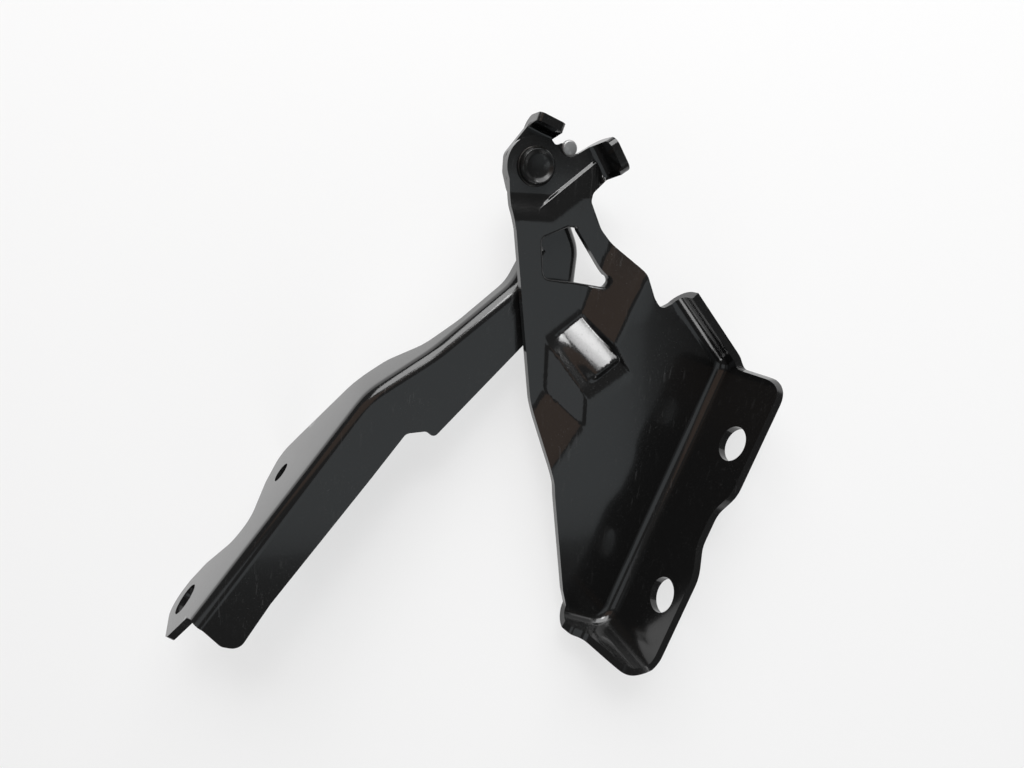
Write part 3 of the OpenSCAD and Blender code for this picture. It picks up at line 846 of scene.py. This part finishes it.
back_washer = turned("back_washer", rounded(
    [(SHANK_R, ARM_BACK, 0.2), (WASHER_R, ARM_BACK, 0.3), (WASHER_R, TAIL_Y, 0.3), (SHANK_R, TAIL_Y, 0.2)],
    step=20))
stud = turned("stud", rounded(
    [(0, STUD_FRONT, 0), (STUD_R, STUD_FRONT, 0.9), (STUD_R, ARM_LEVEL, 0), (0, ARM_LEVEL, 0)], closed=False,
    step=15), *STUD_PLACE, 64)
for piece, node, slot in ((rivet, "pivot_rivet", "rivet_steel"),
                          (bush, "pivot_bush", "bush_bronze"),
                          (spacer, "spacer_washer", "bush_bronze"),
                          (back_washer, "tail_washer", "rivet_steel"),
                          (stud, "stop_stud", "bare_steel")):
    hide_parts(node)
for piece, body in ((bracket, "bracket"), (bush, "bracket"), (spacer, "bracket"),
                    (arm, "arm"), (rivet, "arm"), (back_washer, "arm"), (stud, "arm")):
    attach(piece, body)

# %% [markdown]
# Finishes. Both pressings are dipped in black primer and baked. The coat is thin, even and glossy, with a
# faint orange skin, a little dust and a few rub marks. Node sums are easier to read as plain sums, so a
# small class wraps a socket, and adding or multiplying two of them adds the Math node.

# %% A small language for materials
class Wire:
    """A socket of a material, which can be used in a sum."""

    def __init__(self, recipe, socket):
        self.recipe = recipe
        self.socket = socket

    def sum_of(self, operation, other):
        node = self.recipe.node("ShaderNodeMath", {"operation": operation}, {0: self, 1: other})
        return Wire(self.recipe, node.outputs[0])

    def __add__(self, other):
        return self.sum_of("ADD", other)

    __radd__ = __add__

    def __sub__(self, other):
        return self.sum_of("SUBTRACT", other)

    def __mul__(self, other):
        return self.sum_of("MULTIPLY", other)

    def above(self, low, high):
        """0 below low, 1 above high, and smooth between them."""
        node = self.recipe.node("ShaderNodeMapRange", {"interpolation_type": "SMOOTHSTEP"},
                                {"Value": self, "From Min": low, "From Max": high})
        return Wire(self.recipe, node.outputs["Result"])


class Recipe:
    """A material that is built up one node at a time."""

    def __init__(self, name):
        self.material = bpy.data.materials.new(name)
        self.material.use_nodes = True
        self.tree = self.material.node_tree
        self.surface = self.tree.nodes["Principled BSDF"]
        coordinates = self.node("ShaderNodeTexCoord", {}, {})
        self.place = Wire(self, coordinates.outputs["Object"])

    def node(self, kind, settings, inputs):
        node = self.tree.nodes.new(kind)
        for key, value in settings.items():
            setattr(node, key, value)
        self.feed(node, inputs)
        return node

    def feed(self, node, inputs):
        for key, value in inputs.items():
            if isinstance(value, Wire):
                self.tree.links.new(value.socket, node.inputs[key])
            else:
                node.inputs[key].default_value = value

    def noise(self, size_mm, detail, stretch=None, turn_by=(0, 0, 0)):
        """Noise whose blots are about this many millimetres wide."""
        place = self.place
        if stretch:
            mapping = self.node("ShaderNodeMapping", {},
                                {"Vector": place, "Scale": stretch, "Rotation": turn_by})
            place = Wire(self, mapping.outputs["Vector"])
        node = self.node("ShaderNodeTexNoise", {},
                         {"Vector": place, "Scale": 1 / (size_mm * MM), "Detail": detail})
        return Wire(self, node.outputs["Fac"])

    def blend(self, factor, low, high):
        """A colour between two colours."""
        node = self.node("ShaderNodeMix", {"data_type": "RGBA"}, {"Factor": factor, 6: low, 7: high})
        return Wire(self, node.outputs[2])

    def bump(self, height, depth_mm):
        node = self.node("ShaderNodeBump", {},
                         {"Height": height, "Distance": depth_mm * MM, "Strength": 1.0})
        return Wire(self, node.outputs["Normal"])


def grey(level, warm=0.0):
    return (level * (1 + warm), level, level * (1 - warm), 1)


# %% The black coat and the metals
def black_coat(name, level, dust_level, roughness):
    coat = Recipe(name)
    cloud = coat.noise(22, 3)
    skin = coat.noise(0.9, 2)
    specks = coat.noise(0.45, 1).above(0.66, 0.74)
    rubs = coat.noise(1.3, 3, (1.0, 0.06, 1.0), (0.4, 0.2, 0.9)).above(0.63, 0.7)
    dust = specks * 0.5 + rubs * 0.35
    coat.feed(coat.surface, {
        "Base Color": coat.blend(dust * cloud.above(0.35, 0.75), grey(level), grey(dust_level)),
        "Roughness": roughness + cloud * 0.06 + dust * 0.25 + skin * 0.03,
        "Normal": coat.bump(skin + specks * 0.3, 0.006),
        "Metallic": 0.0, "IOR": 1.5, "Coat Weight": 0.25, "Coat Roughness": 0.06})
    return coat.material


def worn_metal(name, level, bright, roughness, warm=0.0):
    metal = Recipe(name)
    cloud = metal.noise(3.5, 4)
    rings = metal.noise(0.5, 2)
    worn = cloud.above(0.5, 0.72)
    metal.feed(metal.surface, {
        "Base Color": metal.blend(worn, grey(level, warm), grey(bright, warm)),
        "Roughness": roughness + rings * 0.12 - worn * 0.08,
        "Metallic": 0.9,
        "Normal": metal.bump(rings + cloud * 0.6, 0.02)})
    return metal.material


coat = black_coat("black_coat", level=0.006, dust_level=0.05, roughness=0.1)
rivet_steel = worn_metal("rivet_steel", level=0.03, bright=0.07, roughness=0.24)
bush_bronze = worn_metal("bush_bronze", level=0.02, bright=0.045, roughness=0.4, warm=0.06)
bare_steel = worn_metal("bare_steel", level=0.3, bright=0.5, roughness=0.42)

# The spacer and the back washer wear the frame's plain materials, which hold these names. The
# finishes made above were given names that end in .001.
plain_steel = bpy.data.materials["rivet_steel"]
plain_bronze = bpy.data.materials["bush_bronze"]
for piece, finish in ((bracket, coat), (arm, coat), (rivet, rivet_steel), (bush, bush_bronze),
                      (stud, bare_steel), (spacer, plain_bronze), (back_washer, plain_steel)):
    piece.data.materials.clear()
    piece.data.materials.append(finish)

# %% Camera at the photograph's viewing angle
CAMERA_PLACE = (-92.30, -239.45, -20.31)
CAMERA_RIGHT = (0.9426, -0.3318, 0.0391)
CAMERA_UP = (0.0376, 0.2218, 0.9744)
CAMERA_BACK = (-0.3319, -0.9169, 0.2215)
axes = rotation @ np.array([CAMERA_RIGHT, CAMERA_UP, CAMERA_BACK]).T
camera = bpy.data.cameras.new("camera")
camera.sensor_width = 36
camera.lens = 24.60
eye = bpy.data.objects.new("camera", camera)
bpy.context.scene.collection.objects.link(eye)
eye.matrix_world = Matrix.Translation(placed(CAMERA_PLACE)) @ Matrix(axes.tolist()).to_4x4()
bpy.context.scene.camera = eye

# %% [markdown]
# Studio. Black coat shows only what it mirrors, so the light is what draws it. The lamps are named and
# placed as if the part stood upright, as in the drawing. A wide ceiling draws the bends, a small lamp below
# it the rib, and a large dim card in front gives the flat faces their grey. Where the card ends, the faces
# turn deep black. The floor glows only for the camera and in reflections, so that it looks white and sheds
# no extra light. The world is dim, but pale for the camera, which looks past the floor in a low view.

# %% Floor, lamps and world
FLOOR_SIZE = 6
GLOW_SHARE = 0.7
MIDDLE = np.array([10, 0, -60])


def mixed(tree, share, first, second, end):
    """Gives a node tree's end a mix of two shaders."""
    both = tree.nodes.new("ShaderNodeMixShader")
    tree.links.new(share, both.inputs[0])
    tree.links.new(first.outputs[0], both.inputs[1])
    tree.links.new(second.outputs[0], both.inputs[2])
    tree.links.new(both.outputs[0], end.inputs["Surface"])


bpy.ops.object.select_all(action="DESELECT")
bpy.ops.mesh.primitive_plane_add(size=FLOOR_SIZE)
floor = bpy.context.object
floor.name = "floor"
white = bpy.data.materials.new("floor_white")
white.use_nodes = True
nodes = white.node_tree.nodes
links = white.node_tree.links
nodes.clear()
matt = nodes.new("ShaderNodeBsdfDiffuse")
matt.inputs["Color"].default_value = grey(0.82)
glow = nodes.new("ShaderNodeEmission")
glow.inputs["Color"].default_value = grey(0.92)
rays = nodes.new("ShaderNodeLightPath")
seen = nodes.new("ShaderNodeMath")
seen.operation = "MAXIMUM"
links.new(rays.outputs["Is Camera Ray"], seen.inputs[0])
links.new(rays.outputs["Is Glossy Ray"], seen.inputs[1])
share = nodes.new("ShaderNodeMath")
share.operation = "MULTIPLY"
share.inputs[1].default_value = GLOW_SHARE
links.new(seen.outputs[0], share.inputs[0])
mixed(white.node_tree, share.outputs[0], matt, glow, nodes.new("ShaderNodeOutputMaterial"))
floor.data.materials.append(white)


def lamp(name, way, far, size, watts, colour=(1, 1, 1)):
    """A soft lamp, so many millimetres away from the part's middle in a direction of the drawing."""
    way = Vector(way).normalized()
    data = bpy.data.lights.new(name, "AREA")
    data.shape = "RECTANGLE"
    data.size = size[0]
    data.size_y = size[1]
    data.energy = watts
    data.color = colour
    body = bpy.data.objects.new(name, data)
    bpy.context.scene.collection.objects.link(body)
    place = placed(MIDDLE + np.array(way) * far)
    aim = way.to_track_quat("Z", "Y").to_matrix().to_4x4()
    body.matrix_world = Matrix.Translation(place) @ lay_down @ aim
    print(name, "at", place.round(2), "with", watts, "W")


lamp("ceiling", (-0.15, -0.42, 0.9), 1000, (1.3, 0.75), 16)
lamp("rib_lamp", (-0.22, -0.68, 0.7), 900, (0.26, 0.22), 2)
lamp("room", (0.04, -1.0, -0.2), 1000, (1.1, 0.68), 1.3, (0.88, 0.96, 1.0))
lamp("warm_wall", (-0.72, -0.58, 0.4), 1000, (1.0, 0.4), 0.45, (1, 0.62, 0.42))
lamp("left_wall", (-0.89, -0.41, -0.2), 1000, (0.6, 0.5), 0.55, (0.9, 0.96, 1.0))
lamp("table_bounce", (-0.1, -0.4, -0.9), 900, (0.6, 0.3), 2.5)
world = bpy.data.worlds.new("room")
bpy.context.scene.world = world
world.use_nodes = True
nodes = world.node_tree.nodes
nodes["Background"].inputs["Color"].default_value = grey(0.1)
backdrop = nodes.new("ShaderNodeBackground")
backdrop.inputs["Color"].default_value = grey(0.86)
rays = nodes.new("ShaderNodeLightPath")
mixed(world.node_tree, rays.outputs["Is Camera Ray"], nodes["Background"], backdrop, nodes["World Output"])
bpy.context.scene.view_settings.view_transform = "Standard"
